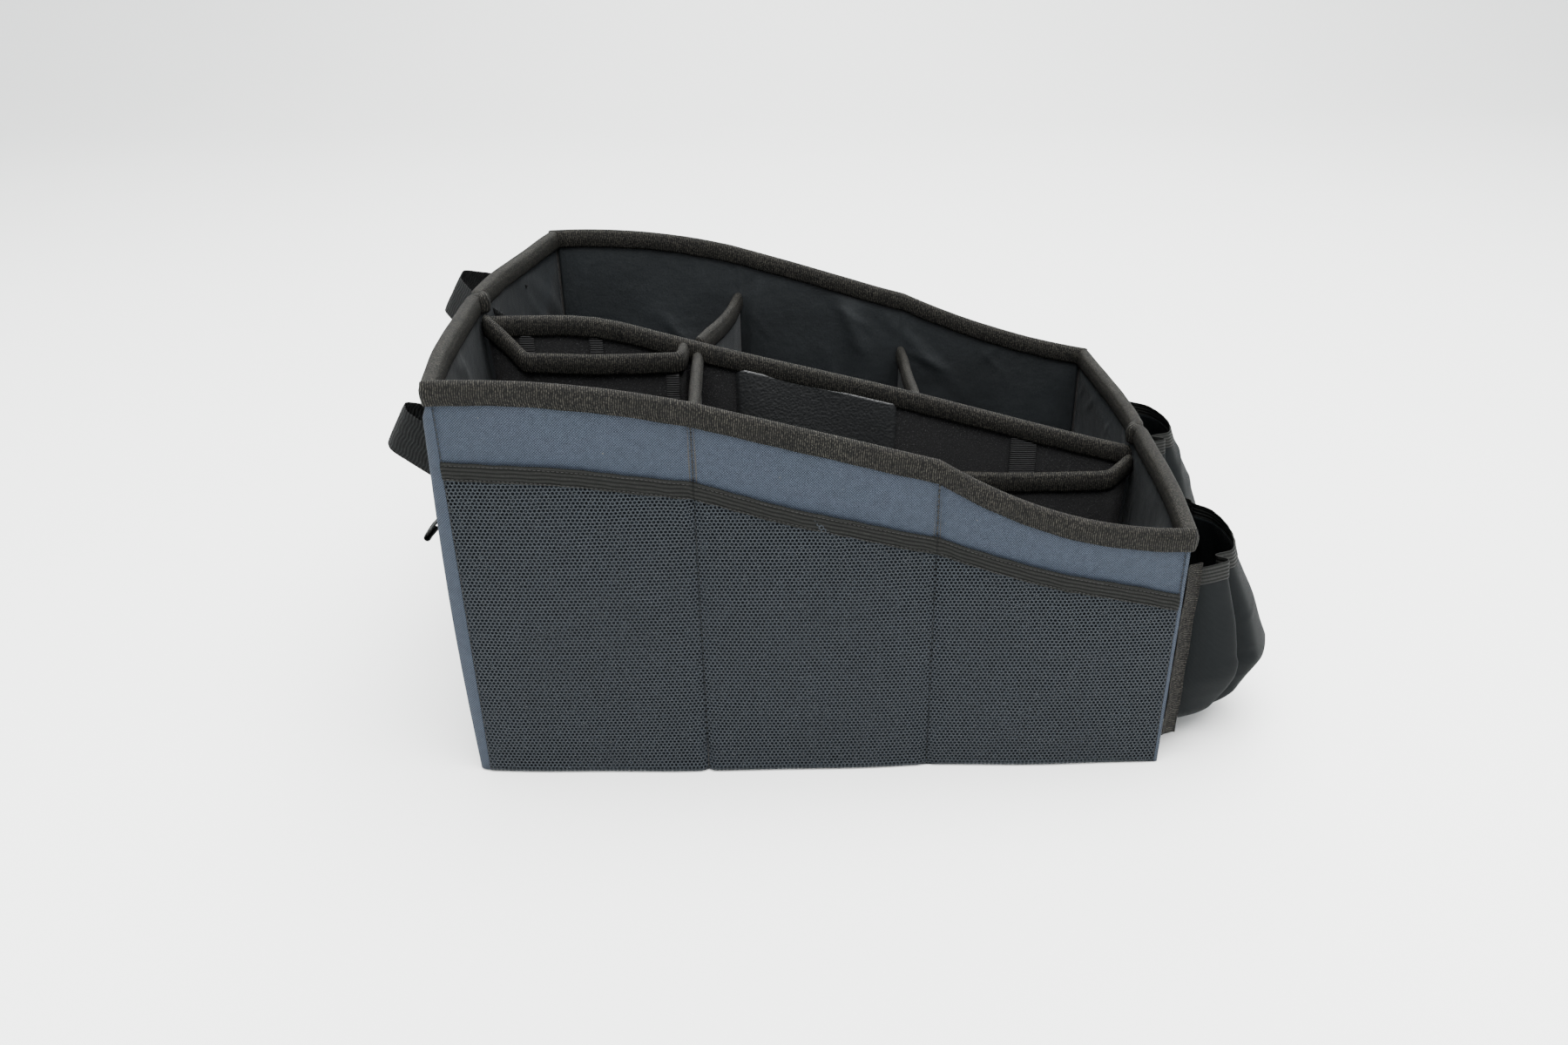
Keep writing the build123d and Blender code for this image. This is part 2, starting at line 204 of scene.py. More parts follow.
# %% [markdown]
# ## A small language for shader maths
# Shader maths is easier to read as a formula than as a web of boxes. The class below wraps a socket, so that
# `1 - mask` or `a * b + c` adds the Math nodes by itself. `Finish` holds one material and makes every other
# node through a single method, with its settings first and the values of its sockets after.


# %% Wires and finishes
def operator(operation):
    """A method of Wire that adds one Math node."""
    return lambda wire, *others: wire.math(operation, wire, *others)


class Wire:
    """A number that varies over a surface; arithmetic on it adds Math nodes."""

    def __init__(self, finish, socket):
        self.finish, self.socket = finish, socket

    def math(self, operation, *values):
        return self.finish.node("Math", {"operation": operation}, dict(enumerate(values)))

    __add__ = __radd__ = operator("ADD")
    __mul__ = __rmul__ = operator("MULTIPLY")
    __sub__, __truediv__, __pow__, __gt__ = map(operator, ("SUBTRACT", "DIVIDE", "POWER", "GREATER_THAN"))
    __abs__, sine, cosine = map(operator, ("ABSOLUTE", "SINE", "COSINE"))

    def __rsub__(self, other):
        return self.math("SUBTRACT", other, self)

    def step(self, low, high):
        """0 below low, 1 above high, smooth between."""
        return self.finish.node("MapRange", {"interpolation_type": "SMOOTHSTEP"}, {0: self, 1: low, 2: high})


class Finish:
    """One material: a Principled shader, its constants, and the nodes that feed it."""

    def __init__(self, name, **constants):
        material = bpy.data.materials.new(name)
        material.use_nodes = True
        self.tree, self.shader = material.node_tree, material.node_tree.nodes["Principled BSDF"]
        for key, value in constants.items():
            self.shader.inputs[key.replace("_", " ")].default_value = value
        FINISHES[name] = material

    def node(self, kind, settings=(), values=(), out=0):
        """Make a node: its settings first, then the values or links of its sockets."""
        made = self.tree.nodes.new("ShaderNode" + kind)
        for key, value in dict(settings).items():
            setattr(made, key, value)
        for key, value in dict(values).items():
            if isinstance(value, Wire):
                self.tree.links.new(value.socket, made.inputs[key])
            else:
                made.inputs[key].default_value = value
        return Wire(self, made.outputs[out])

    def feed(self, **wires):
        """Link wires to the shader's own sockets."""
        for key, wire in wires.items():
            self.tree.links.new(wire.socket, self.shader.inputs[key.replace("_", " ")])

    def cloth(self):
        """The two distances on the cloth, in millimetres, from the piece's UV map."""
        uv = self.node("UVMap", {"uv_map": "cloth"})
        parts = self.node("SeparateXYZ", (), {0: uv})
        across = Wire(self, parts.socket.node.outputs[1])
        return parts * 1000, across * 1000

    def space(self):
        """Where the point is on the whole tote, in metres."""
        return self.node("TexCoord", out=3)

    def noise(self, size, detail=2.0, rough=0.5):
        """Cloudy noise with features of about this size in metres."""
        values = {"Vector": self.space(), "Scale": 1 / size, "Detail": detail, "Roughness": rough}
        return self.node("TexNoise", (), values)

    def mix(self, factor, a, b):
        """One colour over another by a factor."""
        return self.node("Mix", {"data_type": "RGBA"}, {0: factor, 6: a, 7: b}, out=2)

    def relief(self, height, deep):
        """Bump from a height between 0 and 1, deep in millimetres."""
        self.feed(Normal=self.node("Bump", (), {"Height": height, "Distance": deep * MM, "Strength": 1.0}))


def paint(r, g, b):
    """An sRGB colour from 0 to 255 as the linear colour that a socket takes."""
    c = np.array([r, g, b]) / 255
    return (*np.where(c > 0.04045, ((c + 0.055) / 1.055) ** 2.4, c / 12.92), 1.0)


def rows(x, pitch):
    """A wave from 0 to 1 across a row of threads: half of one plus the sine."""
    return (x * (2 * pi / pitch)).sine() * 0.5 + 0.5


# %% [markdown]
# ## Outer fabric
# The walls are oxford cloth, a basket weave of thick slate-blue polyester. In each little square either the
# upright thread or the level one lies on top. The sign of two sines multiplied gives that chessboard, and
# the size of each sine rounds the thread. The light catches the crowns, so they are paler than the gaps.


# %% Slate-blue oxford cloth
def basket(u, v, pitch):
    """Height of a plain weave: in each square the thread on top is a sine across its own width."""
    a, b = (u * (pi / pitch)).sine(), (v * (pi / pitch)).sine()
    over = (a * b) > 0.0
    up = abs(a) * (0.62 + 0.38 * abs(b))
    level = abs(b) * (0.62 + 0.38 * abs(a))
    return over * up + (1 - over) * level * 0.94


def oxford(name, pale, dark, pitch, **constants):
    """A finish for plain-woven cloth, its threads at 45 degrees to the seams."""
    finish = Finish(name, **constants)
    u, v = finish.cloth()
    weave = basket((u + v) * 0.707, (u - v) * 0.707, pitch)
    streaks = finish.noise(0.004, 3.0)
    clouds = finish.noise(0.07, 3.0, 0.6)
    colour = finish.mix(weave * 0.8 + streaks * 0.3 - 0.08, dark, pale)
    worn = finish.mix((clouds - 0.40) * 0.55, colour, paint(38, 44, 52))
    specks = finish.noise(0.0035, 1.0).step(0.77, 0.82) * clouds.step(0.45, 0.6)
    colour = finish.mix(specks * 0.55, worn, paint(84, 84, 80))
    finish.feed(Base_Color=colour, Roughness=0.62 + 0.25 * (1 - weave))
    finish.relief(weave + streaks * 0.25, 0.3)


oxford("outer_fabric", paint(60, 69, 82), paint(4, 5, 9), 1.1, Specular_IOR_Level=0.2)
oxford("base_fabric", paint(24, 27, 32), paint(5, 6, 8), 1.1, Specular_IOR_Level=0.2)
print("cloth finishes:", sorted(FINISHES))

# %% [markdown]
# ## Lining
# The lining is a thin black nylon with a satin face. It is almost smooth, so its look comes from its creases:
# a lowish roughness, a very fine rib, and some cloudy relief for the creases too small to model.

# %% Satin lining
lining = Finish("lining", Specular_IOR_Level=0.2, Sheen_Weight=0.03, Sheen_Roughness=0.4)
u, v = lining.cloth()
soft = lining.noise(0.022, 4.0, 0.55)
rib = rows(v, 0.55)
clouds = lining.noise(0.09, 2.0)
lining.feed(
    Base_Color=lining.mix(clouds, paint(14, 16, 17), paint(32, 35, 37)),
    Roughness=0.38 + 0.14 * soft + 0.04 * rib,
)
lining.relief(soft * 0.9 + rib * 0.05, 1.2)

# %% [markdown]
# ## Binding tape
# Every raw edge is bound with grosgrain tape. Its ribs run straight across it, and a paler fibre shows in
# some of them, so the tape looks brown-black with light flecks. Zigzagging the ribs slightly across the
# width gives the herringbone that shows where the tape turns over the top of the wall.


# %% Ribbed tapes
def grosgrain(name, base, pale, pitch, zigzag, flecks, deep=0.35, **constants):
    """A finish for ribbed tape: ribs across it, with pale tufts on some of them."""
    finish = Finish(name, **constants)
    u, v = finish.cloth()
    slant = abs((v / 3.1).sine()) * zigzag
    ribs = rows(u + slant, pitch)
    cross = rows(v, 0.62)
    tufts = finish.noise(0.0011, 2.0, 0.7)
    wear = finish.noise(0.02, 3.0, 0.6)
    bright = ribs * tufts.step(0.40, 0.66) * flecks * (0.45 + wear)
    dark = finish.mix(ribs * 0.65 + cross * 0.2, tuple(0.45 * c for c in base[:3]) + (1.0,), base)
    finish.feed(Base_Color=finish.mix(bright, dark, pale), Roughness=0.86 - 0.18 * ribs)
    finish.relief(ribs * 0.8 + cross * 0.2 + tufts * 0.3, deep)


grosgrain("binding_tape", paint(10, 10, 9), paint(62, 60, 54), 1.3, 0.6, 0.8, Specular_IOR_Level=0.12)
grosgrain("webbing", paint(8, 10, 10), paint(30, 34, 33), 2.2, 0.9, 0.35, 0.8, Specular_IOR_Level=0.15)
grosgrain("ribbed_strip", paint(16, 16, 17), paint(38, 38, 37), 1.6, 0.0, 0.4, 0.5, Specular_IOR_Level=0.35)

# %% [markdown]
# ## Elastic
# Woven elastic has a few thick cords running along it. Their ribs follow the band, not across it, and the
# cloth between them is finely crimped where the elastic has drawn it in.

# %% Elastic bands
elastic = Finish("elastic", Specular_IOR_Level=0.12)
u, v = elastic.cloth()
cords, crimp = rows(v, 2.5), rows(u, 0.9)
tufts = elastic.noise(0.0012, 2.0, 0.7)
height = cords**0.6 * 0.8 + crimp * 0.14
shade = elastic.mix(height * 0.8, paint(6, 7, 6), paint(27, 28, 26))
elastic.feed(
    Base_Color=elastic.mix(tufts.step(0.55, 0.72) * cords * 0.35, shade, paint(50, 50, 46)),
    Roughness=0.85 - 0.2 * cords,
)
elastic.relief(height + tufts * 0.2, 0.5)

# %% [markdown]
# ## Mesh
# The three front pockets are a knitted mesh with small round holes in staggered rows. Three cosines, each
# turned 60 degrees from the next, add up to peaks on exactly such a pattern. The peaks become holes through
# Alpha, so that the blue wall behind really shows through them. What Alpha leaves of each hole is painted
# near-black, as painted shade of that wall.

# %% Knitted mesh
mesh_cloth = Finish("mesh", Specular_IOR_Level=0.12)
u, v = mesh_cloth.cloth()
pitch = 2.5
k = 4 * pi / (3**0.5 * pitch)
peaks = (v * k).cosine() + (u * (k * 3**0.5 / 2) + v * (k / 2)).cosine() + (
    u * (k * 3**0.5 / 2) - v * (k / 2)
).cosine()
tufts = mesh_cloth.noise(0.0016, 2.0, 0.6)
dust = mesh_cloth.noise(0.05, 4.0, 0.6)
holes = (peaks + tufts * 0.9 + (dust - 0.5) * 0.8).step(0.7, 1.3)
strands = (1.5 - peaks) * 0.34
# In and around the holes the colour is near-black: painted shade of the blue wall behind, in the part of each
# hole that Alpha keeps.
shade = mesh_cloth.mix(strands.step(0.35, 0.9) * (tufts * 0.5 + 0.6), paint(2, 3, 4), paint(47, 51, 55))
shade = mesh_cloth.mix((dust - 0.45) * 0.6, shade, paint(26, 28, 28))
specks = mesh_cloth.noise(0.003, 1.0).step(0.78, 0.82) * dust.step(0.5, 0.65)
mesh_cloth.feed(
    Base_Color=mesh_cloth.mix(specks * 0.3, shade, paint(60, 60, 57)),
    Roughness=0.9 - 0.15 * strands,
    Alpha=1 - holes * 0.8,
)
mesh_cloth.relief(strands + tufts * 0.3, 0.4)

# %% [markdown]
# ## What lines the middle divider
# The divider and the two flat pockets are faced with the loop half of touch-and-close tape fabric: tiny
# black loops that sparkle a little. Between them sits one pocket of pebble-grained coated fabric, whose
# grain is a set of cells that come from a Voronoi texture.

# %% Loop pile, grained sheet and stretch fabric
pile = Finish("loop_pile", Specular_IOR_Level=0.35, Sheen_Weight=0.03, Sheen_Roughness=0.5)
curls = pile.noise(0.0009, 3.0, 0.75)
patches = pile.noise(0.03, 2.0)
glint = curls.step(0.56, 0.68)
pile.feed(
    Base_Color=pile.mix(glint * (0.35 + patches), paint(9, 9, 10), paint(52, 53, 53)),
    Roughness=0.95 - 0.5 * glint,
)
pile.relief(curls, 0.9)

grain = Finish("grained_sheet", Specular_IOR_Level=0.5)
cells = grain.node("TexVoronoi", {"feature": "SMOOTH_F1"}, {"Vector": grain.space(), "Scale": 620.0})
fine = grain.noise(0.0012, 2.0)
grain.feed(
    Base_Color=grain.mix(cells * 0.8, paint(24, 25, 26), paint(13, 14, 14)),
    Roughness=0.34 + 0.3 * cells + 0.1 * fine,
)
grain.relief(1 - cells, 0.35)

stretch = Finish("stretch_fabric", Specular_IOR_Level=0.1, Sheen_Weight=0.02, Sheen_Roughness=0.4)
u, v = stretch.cloth()
knit, clouds = rows(u, 0.7), stretch.noise(0.05, 3.0, 0.6)
lint = stretch.noise(0.0022, 2.0, 0.6).step(0.70, 0.8)
base = stretch.mix(clouds, paint(3, 6, 7), paint(7, 10, 11))
stretch.feed(
    Base_Color=stretch.mix(lint * 0.2 + knit * 0.08, base, paint(20, 25, 26)),
    Roughness=0.82 + 0.1 * knit,
)
stretch.relief(knit * 0.3 + clouds * 0.5, 0.25)

board = Finish("board", Roughness=0.8)
board.feed(Base_Color=board.mix(board.noise(0.004), paint(30, 29, 27), paint(38, 36, 34)))
thread = Finish("thread", Specular_IOR_Level=0.4)
thread.feed(
    Base_Color=thread.mix(thread.noise(0.0008), paint(8, 8, 8), paint(24, 23, 21)),
    Roughness=0.55 + 0.2 * thread.noise(0.002),
)
for name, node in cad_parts.items():
    node.data.materials.clear()
    node.data.materials.append(FINISHES["board"])
print(len(FINISHES), "finishes")

# %% [markdown]
# ## Outer walls
# The front and back walls are one sheet each. A sheet is a function of x and z: the straight wall, plus a
# gentle swell between the seams, minus a tight dent where a seam holds the fabric down, plus a few slack
# creases near the corners. The rows follow the sloping rim, so the cloth's edge is the rim itself.


# %% Long walls


def mouth_line(x):
    """The top edge of the front pockets: it follows the rim 45 below, but straighter at the low end."""
    return rim(x, 189.0) - 45 + 4.0 * ease((x - 90) / 110)


def slack(x, z, seed):
    """Shape of a long wall's face in millimetres: swell between seams, dents on them, soft creases."""
    swell = np.zeros_like(x + z)
    for low, high in ((-215.0, -72.0), (-72.0, 67.0), (67.0, 215.0)):
        part = np.clip((x - low) / (high - low), 0, 1)
        swell += 1.1 * np.sin(pi * part) ** 0.8
    seams = sum(bell(x, s, 2.6) for s in SEAMS)
    height = z / rim(x)
    swell *= 0.35 + 0.65 * np.sin(pi * np.clip(height, 0, 1)) ** 0.5
    creases = folds(x, z, seed, 16, (-200, 205, 30, 235), 34, 6.0, 0.8)
    foot = 3.6 * bell(x, -75, 105) * np.exp(-np.clip(z, 0, None) / 14) + 0.5 * np.sin(x / 17) * np.exp(-z / 8)
    beside = sum(bell(x, s + side * 6, 3.5) for s in SEAMS for side in (-1, 1))
    return swell + creases + foot + 0.5 * beside * np.sin(z / 9.0) - 1.5 * seams


def long_grid(side, x0, x1, columns, rows_up, low):
    """x across and z up to the rim, as two matching arrays."""
    x = np.linspace(x0, x1, columns)[None, :]
    t = np.linspace(0, 1, rows_up)[:, None]
    return x + 0 * t, low + (rim(x, HOLLOW[side]) - low) * t


def long_wall(side, seed):
    """The outer face of the front (side -1) or back (side 1) wall."""
    x, z = long_grid(side, -214.6, 214.6, 287, 64, 0.8)
    y = side * (half_depth(x) + slack(x, z, seed))
    return spread(x, y, z)


for side, name, seed in ((-1, "front", 3), (1, "back", 8)):
    panel = cloth(name + "_cloth", long_wall(side, seed), "outer_fabric", [name + "_panel"], 0.8, side > 0)
    name + "_board_1"
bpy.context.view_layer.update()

# %% [markdown]
# ## End walls
# Each end is one sheet that turns both corners, so a narrow strip of it shows on the long walls, sewn flat
# with a hem. Its plan is a list of points along the wall: strip, corner arc, bowed face, corner arc, strip.


# %% End walls
# In plan, the corner is rounded by CORNER, the hem reaches WRAP round it and stands LIFT off the long wall.
CORNER, WRAP, LIFT = 2.2, 2.8, 0.75


def end_plan(end, z):
    """Plan of an end wall at each height: hem strip, full corner, bowed face, corner, hem strip."""
    face = np.linspace(-1, 1, 121)
    turn = np.linspace(0, 1, 7)[1:-1]
    half = float(half_depth(end * HALF_LENGTH))
    strip_x = HALF_LENGTH - np.linspace(WRAP, 2.4, 4)
    y_face = face * (half - CORNER)
    fuller = (3.8 + 2.6 * np.sin(pi * np.clip(z / 235, 0, 1))) * ease((TALL - 9 - z) / 12) * (end < 0)
    x_face = HALF_LENGTH + bow(end, y_face[None, :], z[:, None])
    x_face = x_face + fuller[:, None] * bell(np.abs(y_face), half - CORNER, 14)
    hem = np.concatenate([[0.05], np.full(3, LIFT)])
    x_corner = HALF_LENGTH - 2.4 + 2.4 * np.sin(turn * pi / 2)
    y_corner = half - CORNER + (CORNER + LIFT) * np.cos(turn * pi / 2)
    one = np.ones_like(z)[:, None]
    corner_bow = bow(end, np.array([half - CORNER]), z[:, None]) + fuller[:, None]
    corner_bow = corner_bow * np.sin(turn * pi / 2)[None, :]
    x = np.concatenate(
        [one * strip_x, x_corner * one + corner_bow, x_face, (x_corner * one + corner_bow)[:, ::-1],
         one * strip_x[::-1]], 1
    )
    near = half + hem
    y = np.concatenate([-near, -y_corner, y_face, y_corner[::-1], near[::-1]])[None, :] * one
    return end * x, y


def end_wall(end, seed):
    """The outer face of an end wall, with slack folds and a wavy hem."""
    top = TALL if end < 0 else LOW
    z = np.linspace(0.8, top, 56)
    x, y = end_plan(end, z)
    grid_z = z[:, None] + 0 * x
    waves = folds(y, grid_z, seed, 12, (-150, 150, 30, top - 20), 30, 7.0, 0.9)
    return spread(x + end * waves * ease((158 - np.abs(y)) / 10), y, grid_z)


for end, name, seed in ((-1, "tall_end", 21), (1, "low_end", 22)):
    covers = [name + "_panel", name + "_board_front", name + "_board_back"]
    wide = 2 * float(half_depth(end * HALF_LENGTH)) * MM + 0.016
    top = TALL if end < 0 else LOW
    panel = cloth(name + "_cloth", end_wall(end, seed), "outer_fabric", covers, 0.8, end < 0)
    top * MM

# %% [markdown]
# ## Linings
# Inside, each wall has a satin lining that is a little too big for it. The slack gathers into diagonal
# creases, mostly near the seams and corners, and these are what catch the light.


# %% Wall linings and floor
def lining_slack(a, b, seed, wide, high):
    """Creases of a lining: long soft ridges, with a few shorter and sharper ones."""
    long_ones = folds(a, b, seed, 14, (-wide, wide, 20, high), 60, 9.0, 2.2)
    short_ones = folds(a, b, seed + 50, 26, (-wide, wide, 20, high), 22, 3.2, 1.0)
    return long_ones + short_ones


for side, name, seed in ((-1, "front", 31), (1, "back", 37)):
    x, z = long_grid(side, -210.8, 210.8, 255, 70, FLOOR)
    held = 1 - sum(bell(x, s, 3.0) for s in ((-67.0, 65.0) if side > 0 else (-72.0, 67.0)))
    wave = lining_slack(x, z, seed, 200, 240) * held * ease((rim(x, HOLLOW[side]) - z) / 30)
    wave = wave * ease((211 - np.abs(x)) / 12)
    sewn = sum(bell(x, s + 1.6, 1.2) for s in ((-67.0, 65.0) if side > 0 else SEAMS))
    y = side * (half_depth(x) - WALL - wave - 0.5 * sewn)
    satin = cloth(name + "_satin", spread(x, y, z), "lining", [name + "_lining"], 0.5, side < 0)
    name + "_board_1"

for end, name, seed in ((-1, "tall_end", 41), (1, "low_end", 43)):
    top = TALL if end < 0 else LOW
    half = float(half_depth(end * HALF_LENGTH)) - WALL - 0.4
    y = np.linspace(-half, half, 201)[None, :]
    z = np.linspace(FLOOR, top, 60)[:, None]
    wave = lining_slack(y + 0 * z, z + 0 * y, seed, half, top) * ease((top - z) / 25)
    wave = wave * ease((half - abs(y)) / 12) * ease(np.abs(y) / 9)
    x = end * (HALF_LENGTH + bow(end, y, z) - WALL - wave)
    satin = cloth(name + "_satin", spread(x, y, z), "lining", [name + "_lining"], 0.5, end > 0)
    2 * half * MM
    top * MM

for name, covered, height, inset, finish in (
    ("floor_satin", "base_lining", FLOOR, 3.6, "lining"), ("underside", "base_panel", 0.0, 0.2, "base_fabric")
):
    x = np.linspace(-HALF_LENGTH + inset, HALF_LENGTH - inset, 90)[None, :]
    s = np.linspace(-1, 1, 70)[:, None]
    y = s * (half_depth(x) - inset)
    dip = 0.5 * np.cos(x / 31.0) * np.cos(y / 27.0) * (1 - s**2)
    z = height + (dip if finish == "lining" else 0.2 * (1 - dip) * (1 - s**4)) + 0 * y
    sole = cloth(name, spread(x, y, z), finish, [covered], 0.5, finish != "lining")
print("linings made")

# %% [markdown]
# ## Binding along every edge
# A tape is a profile carried along a path. The profile goes up the outside of the wall, over its top in half
# an ellipse, and down the inside. At each point of the path the profile stands upright and square to the
# path. Towards both ends of the tape it closes, so that the end looks folded under.

# %% A tape over an edge
def profile(half, leg, rise=1.4, hug=0.6):
    """Sideways and upward distances of a tape's cross-section, from its outer hem to its inner hem."""
    down = np.linspace(1, 0, 7)[:-1]
    arc = np.linspace(-pi / 2, pi / 2, 13)
    side = (half - hug * down**2) + 0.35 * np.sin(pi * down)
    n = np.concatenate([-side, half * np.sin(arc), side[::-1]])
    side_h = -1.2 - (leg - 1.2) * down
    h = np.concatenate([side_h, -1.2 + (rise + 1.2) * np.cos(arc), side_h[::-1]])
    return n, h


def square_to(path):
    """Level unit vectors square to a path, to its right: the path's direction turned a quarter."""
    way = np.gradient(path[:, :2], axis=0)
    way /= np.linalg.norm(way, axis=1, keepdims=True)
    return np.stack([way[:, 1], -way[:, 0]], -1)


def even_path(points, step=1.6, soften=0):
    """Points at even steps along a polyline, its corners softened by averaging with neighbours."""
    points = np.asarray(points, float)
    far = np.concatenate([[0], np.cumsum(np.linalg.norm(np.diff(points, axis=0), axis=1))])
    at = np.linspace(0, far[-1], max(int(far[-1] / step), 4) + 1)
    path = np.stack([np.interp(at, far, points[:, i]) for i in range(points.shape[1])], -1)
    for _ in range(soften):
        path[1:-1] = (path[:-2] + 2 * path[1:-1] + path[2:]) / 4
    return path


def tape(name, path, half, leg, covers, body="tote", nose=3.0, seed=1, thick=0.9, wave=0.25):
    """Grosgrain folded over an edge along a path, with slightly uneven hems and closed ends."""
    n, h = profile(half, leg)
    right = square_to(path)
    far = arc_length(path[None], 1)[0]
    room = np.minimum(far, far[-1] - far) / nose
    close = np.sqrt(np.clip(1 - np.clip(1 - room, 0, 1) ** 2, 0.0004, 1)) if nose else np.ones_like(far)
    rng = np.random.default_rng(seed)
    phase = rng.uniform(0, 6.28, 6)
    uneven = sum(np.sin(far / w + p) for w, p in zip((4.3, 9.7, 21.0), phase)) / 3
    sway = sum(np.sin(far / w + p) for w, p in zip((14.0, 33.0, 7.0), phase[3:])) / 3
    low = np.clip(-(h + 1.2) / leg, 0, 1)
    side = n[None, :] * close[:, None] + wave * sway[:, None]
    up = h[None, :] + wave * 1.6 * uneven[:, None] * low[None, :]
    points = np.empty((len(path), len(n), 3))
    points[..., :2] = path[:, None, :2] + right[:, None, :] * side[..., None]
    points[..., 2] = path[:, 2:3] + up
    across = np.concatenate([[0], np.cumsum(np.hypot(np.diff(n), np.diff(h)))])
    uv = np.stack([far[:, None] + 0 * side, across[None, :] + 0 * side], -1) * MM
    return piece(name, grid_mesh(name, points, uv, flip=True), "binding_tape", covers, body, thick=thick)


def rim_path(side):
    """The middle of a long wall's thickness, along its rim, past both corners."""
    x = np.linspace(-217.4, 217.0, 290)
    y = side * (half_depth(x) - WALL / 2)
    return spread(x, y, rim(x, HOLLOW[side]))[:: 1 if side < 0 else -1]


def end_path(end):
    """The middle of an end wall's thickness, along its rim, from corner to corner."""
    half = float(half_depth(end * HALF_LENGTH)) + 0.4
    y = np.linspace(-half, half, 220)
    top = TALL if end < 0 else LOW
    x = end * (HALF_LENGTH - WALL / 2 + bow(end, y, top))
    sag = 0.7 * np.sin(y / 24.0) * ease((half - abs(y)) / 20)
    path = spread(x, y, top + sag - 0.6)
    return path[:: 1 if end > 0 else -1]


EDGES = {}
for side, name in ((-1, "front"), (1, "back")):
    EDGES[name] = rim_path(side)
    tape(f"{name}_rim_binding", EDGES[name], 3.1, 11.5, [f"rim_tape_{name}"], seed=5 + side)
for end, name in ((-1, "tall_end"), (1, "low_end")):
    EDGES[name] = end_path(end)
    covered = [f"rim_tape_{name}_front", f"rim_tape_{name}_back"]
    tape(f"{name}_rim_binding", EDGES[name], 4.0, 11.2, covered, seed=15 + end)
print("rim bound")

# %% [markdown]
# ## Mesh pockets and their elastic
# Each mesh pocket lies against the front wall and is sewn down along its two sides, so it is a little higher
# in the middle than at its seams. The elastic along its mouth is pulled in, so it sags between the seams and
# its edge ripples.


# %% Front pockets
POCKETS = [(-212.4, -72.1), (-71.9, 66.9), (67.1, 212.2)]


def stand(x, low, high):
    """How far a pocket stands off the wall: nothing on its seams, most in its middle."""
    part = np.clip((x - low) / (high - low), 0, 1)
    return 0.5 + 1.2 * np.sin(pi * part) ** 0.45


for number, (low, high) in enumerate(POCKETS, 1):
    x = np.linspace(low, high, 110)[None, :]
    t = np.linspace(0, 1, 84)[:, None]
    part = (x - low) / (high - low)
    mouth = mouth_line(x) - 2.0 - 1.4 * np.sin(pi * part)
    z = 1.0 + (mouth - 1.0) * t
    front = half_depth(x) + np.maximum(slack(x, z, 3), -0.3) + stand(x, low, high)
    ripple = folds(x + 0 * z, z, 60 + number, 14, (low + 8, high - 8, 20, 200), 30, 5.0, 0.7)
    edge = np.minimum(x - low, high - x)
    pucker = 0.45 * np.exp(-edge / 5.0) * np.sin(z / 3.4 + number) * ease(edge / 1.5)
    y = -(front + ripple * ease(edge / 8) + pucker)
    net = cloth(f"mesh_{number}", spread(x, y, z), "mesh", [f"mesh_pocket_{number}"], 0.3)
    tall = float((mouth - 1).mean()) * MM

    t = np.linspace(-1, 1, 25)[:, None]
    top = mouth + 1.6 + 0.12 * np.sin(x / 3.1 + number) + 0.35 * np.sin(x / 13.0)
    z = top - 11.4 * (1 - t) / 2
    front = half_depth(x) + np.maximum(slack(x, z, 3), -0.2) + stand(x, low, high)
    rounded = 0.7 * np.sqrt(np.clip(1 - t**4, 0, 1)) + 0.07 * np.cos(t * 5 * pi)
    folded = 0.8 * (bell(x, low, 2.2) + bell(x, high, 2.2))
    y = -(front + 0.15 + rounded + folded * (1 - t**2) + 0.15 * np.sin(x / 2.4 + 3 * t))
    points = spread(x, y, z)
    mesh = grid_mesh(f"pocket_elastic_{number}", points, cloth_uv(points))
    piece(f"pocket_elastic_{number}", mesh, "elastic", [f"mesh_elastic_{number}"], thick=0.9)
print("pockets made")

# %% [markdown]
# ## The middle divider
# The divider runs from end to end. Its two faces are upright sheets whose ends follow the bowed end walls, so
# each row of the grid is a little longer than the one below it. Its tape runs level from the tall end to a
# knee, and then straight down to the low end.


# %% Divider
def inner_end(end, y, z):
    """Where an end wall's lining stands."""
    return end * (HALF_LENGTH + bow(end, y, z) - WALL - 0.5)


def divider_top(x):
    """Level to the knee, then a straight slope, joined by a soft corner."""
    slope = (x + 152) * (151 - 246) / 362.5
    return 246 + np.where(x > -152, slope, 0) - 1.2 * bell(x, -152, 12) + 0.5 * np.sin(x / 37.0)


def sway(x, z):
    """The divider isn't quite flat: a long shallow wave that dies out at the floor."""
    return 1.3 * np.sin(x / 62.0 + 0.6) * (z / 240.0) * np.cos(x / 140.0)


def divider_face(y0, x0=None, x1=None, low=FLOOR, drop=0.0, deep=0.25):
    """A sheet on the divider from x0 to x1 and from low to its top edge."""
    t = np.linspace(0, 1, 60)[:, None]
    s = np.linspace(0, 1, 240 if x0 is None else 40)[None, :]
    z = low + 235.0 * t
    left = inner_end(-1, np.array(0.0), z) if x0 is None else x0
    right = inner_end(1, np.array(0.0), z) if x1 is None else x1
    for _ in range(3):
        x = left + (right - left) * s
        z = low + (divider_top(x) - drop - low) * t
        left = inner_end(-1, np.array(0.0), z) if x0 is None else x0
        right = inner_end(1, np.array(0.0), np.minimum(z, LOW)) if x1 is None else x1
    y = y0 + sway(x, z) + deep * np.sin(x / 17.0 + z / 23.0) + 0 * t
    return spread(x, y, z)


for name, y, finish, covers, thick in (
    ("divider_loop_face", -2.2, "loop_pile", ["divider_front_face", "divider_board"], 1.0),
    ("divider_satin_face", 2.0, "lining", ["divider_back_face", "divider_gussets"], 0.6),
):
    face = cloth(name, divider_face(y), finish, covers, thick, y > 0)

